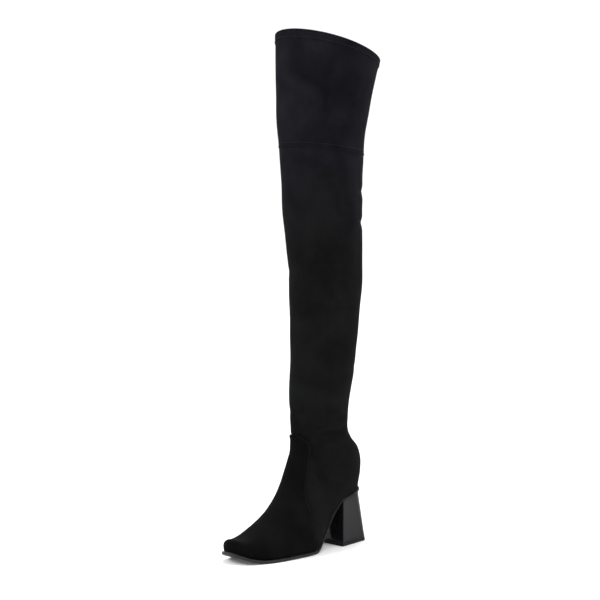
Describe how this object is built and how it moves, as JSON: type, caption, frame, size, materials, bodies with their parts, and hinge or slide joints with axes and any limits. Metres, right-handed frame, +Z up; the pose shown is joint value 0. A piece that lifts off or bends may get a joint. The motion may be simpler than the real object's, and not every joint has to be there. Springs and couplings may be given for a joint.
{
  "type": "thigh high boot",
  "caption": "Tall close-fitting pull-on boot reaching above the knee, with a squared toe, a flared block heel, an inner zip and an elastic V behind the collar.",
  "frame": {"origin": "on the floor, under the middle of the heel's top piece, where the heel rests", "axes": "+Z up the shaft, toe towards -Y, the wearer's left and outer side towards +X"},
  "size_m": [0.1302, 0.281, 0.733],
  "materials": {
    "suede": "matt black microfibre suede",
    "elastic": "black elastic webbing",
    "lining": "dark smooth insole cover",
    "sole": "satin dark sole",
    "heel": "black high gloss",
    "top_piece": "matt black top piece",
    "zip_tape": "black zip tape",
    "zip_metal": "black painted metal"
  },
  "bodies": {
    "boot": {"upper": "suede", "vamp": "suede", "back_gore": "elastic", "insole": "lining", "outsole": "sole", "heel": "heel", "heel_top_piece": "top_piece", "zip": "zip_tape", "zip_slider": "zip_metal"},
    "pull": {"zip_pull": "zip_metal"}
  },
  "joints": [
    {"name": "pull_swing", "type": "hinge", "parent": "boot", "child": "pull", "pos_m": [-0.05149, -0.01282, 0.5479], "axis": [0.2314, 0.9729, 0], "range_deg": [-5, 150]}
  ]
}
